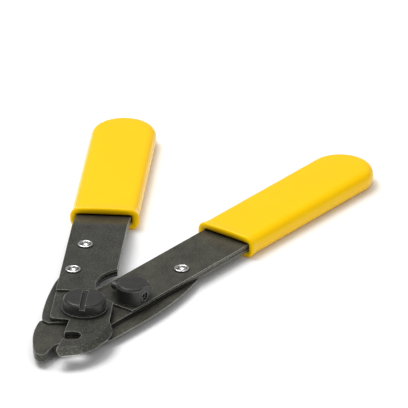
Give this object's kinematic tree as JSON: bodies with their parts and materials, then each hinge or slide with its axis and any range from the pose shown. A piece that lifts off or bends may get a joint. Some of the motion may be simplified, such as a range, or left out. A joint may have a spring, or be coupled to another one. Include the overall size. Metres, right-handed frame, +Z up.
{
  "type": "wire stripper",
  "caption": "Plier-type wire stripper: crossed laminated steel arms on a slotted pivot screw, notched jaws, dipped yellow grips and a round stop block with an adjusting screw.",
  "frame": {"origin": "on the pivot axis, at the flat end of the pivot screw, in the plane that the tool lies on", "axes": "+Z up along the pivot axis towards the slotted head, +Y from the pivot towards the handles, along the tool's centre line, +X to the right, towards the lower arm's handle"},
  "size_m": [0.0808, 0.1371, 0.009],
  "materials": {
    "steel": "dark phosphate finish, satin, slightly olive",
    "black_steel": "black oxide, satin",
    "nickel": "bright nickel plate",
    "vinyl": "glossy dipped yellow vinyl"
  },
  "bodies": {
    "upper_arm": {"upper_blade": "steel", "upper_backing_plate": "steel", "upper_cover_plate": "steel", "upper_front_rivet": "nickel", "upper_middle_rivet": "nickel", "upper_tail_rivet": "nickel", "upper_grip": "vinyl", "pivot_screw": "black_steel", "pivot_washer": "black_steel", "pivot_spacer": "black_steel", "pivot_nut": "black_steel"},
    "lower_arm": {"lower_blade": "steel", "lower_backing_plate": "steel", "lower_cover_plate": "steel", "lower_middle_rivet": "nickel", "lower_tail_rivet": "nickel", "lower_grip": "vinyl", "stop_block": "black_steel", "stop_stud": "black_steel"},
    "adjuster": {"stop_screw": "black_steel"}
  },
  "joints": [
    {"name": "arm_pivot", "type": "hinge", "parent": "upper_arm", "child": "lower_arm", "pos_m": [0, 0, 0.00396], "axis": [0, 0, 1], "range_deg": [-12, 16]},
    {"name": "stop_screw_travel", "type": "slide", "parent": "lower_arm", "child": "adjuster", "axis": [0.9588, -0.284, 0], "range_m": [0, 0.0025]}
  ]
}
